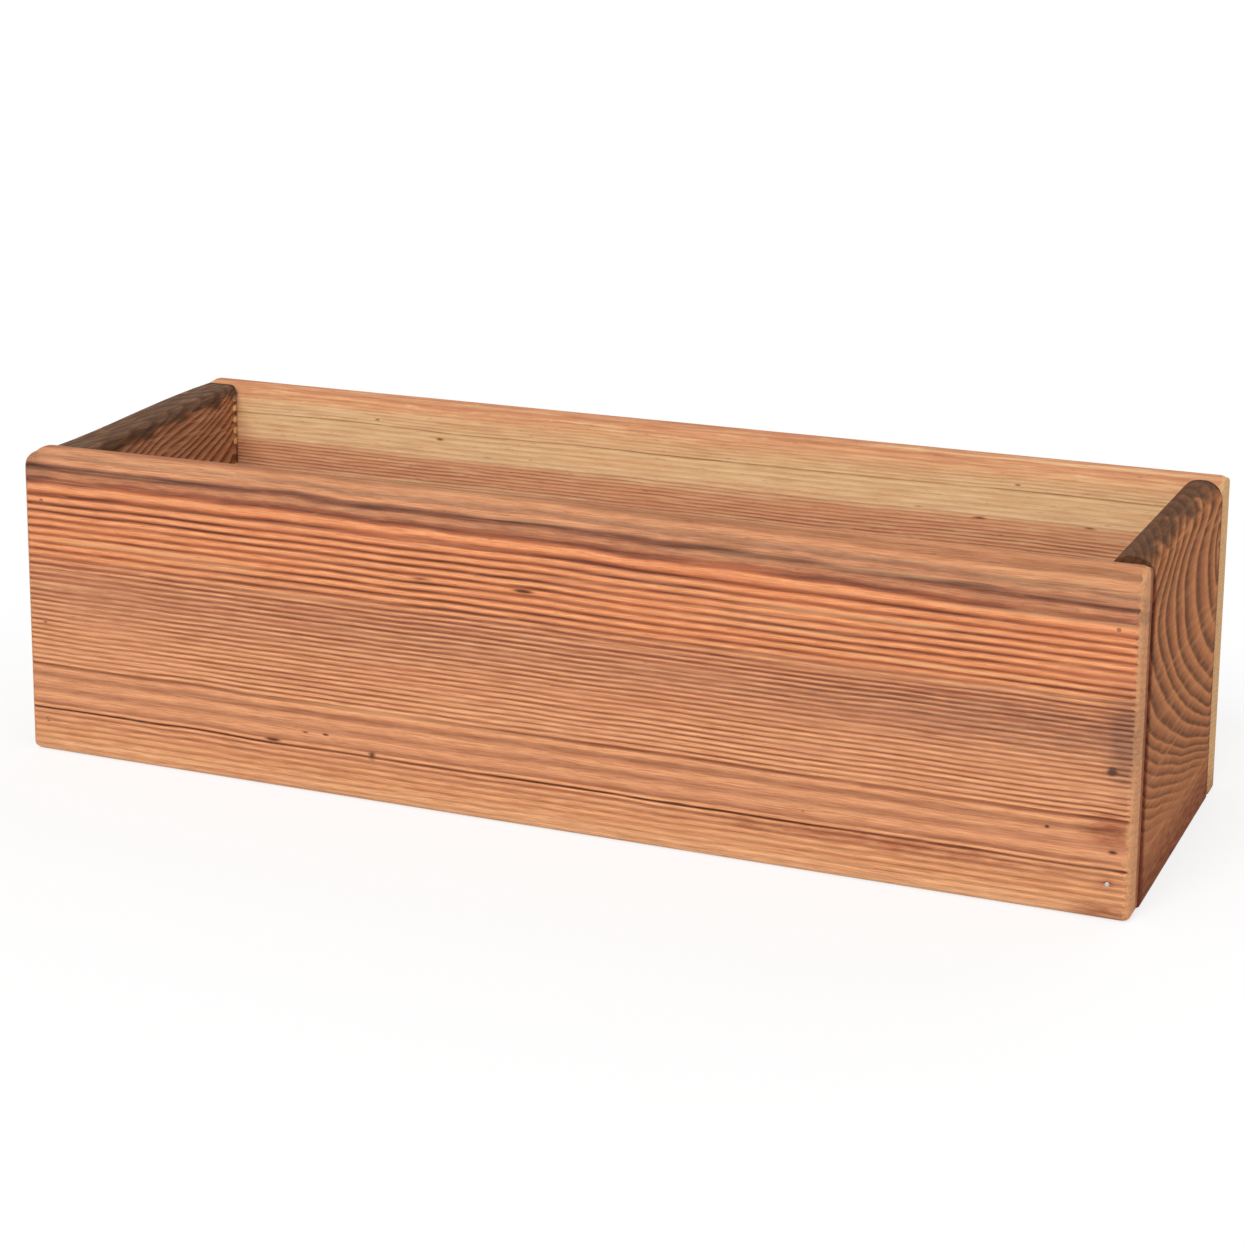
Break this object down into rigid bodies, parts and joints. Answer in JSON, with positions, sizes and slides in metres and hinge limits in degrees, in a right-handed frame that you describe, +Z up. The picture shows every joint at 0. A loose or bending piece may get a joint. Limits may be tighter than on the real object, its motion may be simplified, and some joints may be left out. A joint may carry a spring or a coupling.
{
  "type": "window box planter",
  "caption": "Open-topped wooden window box planter of nailed boards with rounded rims and a slatted draining floor on cleats.",
  "frame": {"origin": "middle of the footprint, on the surface that the box stands on", "axes": "+Z up, +X along the box towards its right end seen from the front, the front board faces -Y"},
  "size_m": [0.6, 0.206, 0.17],
  "materials": {
    "front_wood": "brushed and oiled softwood, orange-brown with dark growth rings, satin",
    "back_wood": "brushed and oiled softwood, golden tan, satin",
    "end_wood": "brushed and oiled softwood, darker brown with strong growth rings, satin",
    "floor_wood": "sawn softwood, matt",
    "nail_steel": "dull zinc-grey steel"
  },
  "bodies": {
    "root": {"back_board": "back_wood", "cleat_nail_left_1": "nail_steel", "cleat_nail_left_2": "nail_steel", "cleat_nail_right_1": "nail_steel", "cleat_nail_right_2": "nail_steel", "corner_nail_back_left_1": "nail_steel", "corner_nail_back_left_2": "nail_steel", "corner_nail_back_left_3": "nail_steel", "corner_nail_back_right_1": "nail_steel", "corner_nail_back_right_2": "nail_steel", "corner_nail_back_right_3": "nail_steel", "corner_nail_front_left_1": "nail_steel", "corner_nail_front_left_2": "nail_steel", "corner_nail_front_left_3": "nail_steel", "corner_nail_front_right_1": "nail_steel", "corner_nail_front_right_2": "nail_steel", "corner_nail_front_right_3": "nail_steel", "floor_slat_1": "floor_wood", "floor_slat_2": "floor_wood", "floor_slat_3": "floor_wood", "front_board": "front_wood", "left_cleat": "floor_wood", "left_end_board": "end_wood", "right_cleat": "floor_wood", "right_end_board": "end_wood", "slat_nail_1_left_1": "nail_steel", "slat_nail_1_left_2": "nail_steel", "slat_nail_1_right_1": "nail_steel", "slat_nail_1_right_2": "nail_steel", "slat_nail_2_left_1": "nail_steel", "slat_nail_2_left_2": "nail_steel", "slat_nail_2_right_1": "nail_steel", "slat_nail_2_right_2": "nail_steel", "slat_nail_3_left_1": "nail_steel", "slat_nail_3_left_2": "nail_steel", "slat_nail_3_right_1": "nail_steel", "slat_nail_3_right_2": "nail_steel"}
  },
  "joints": []
}
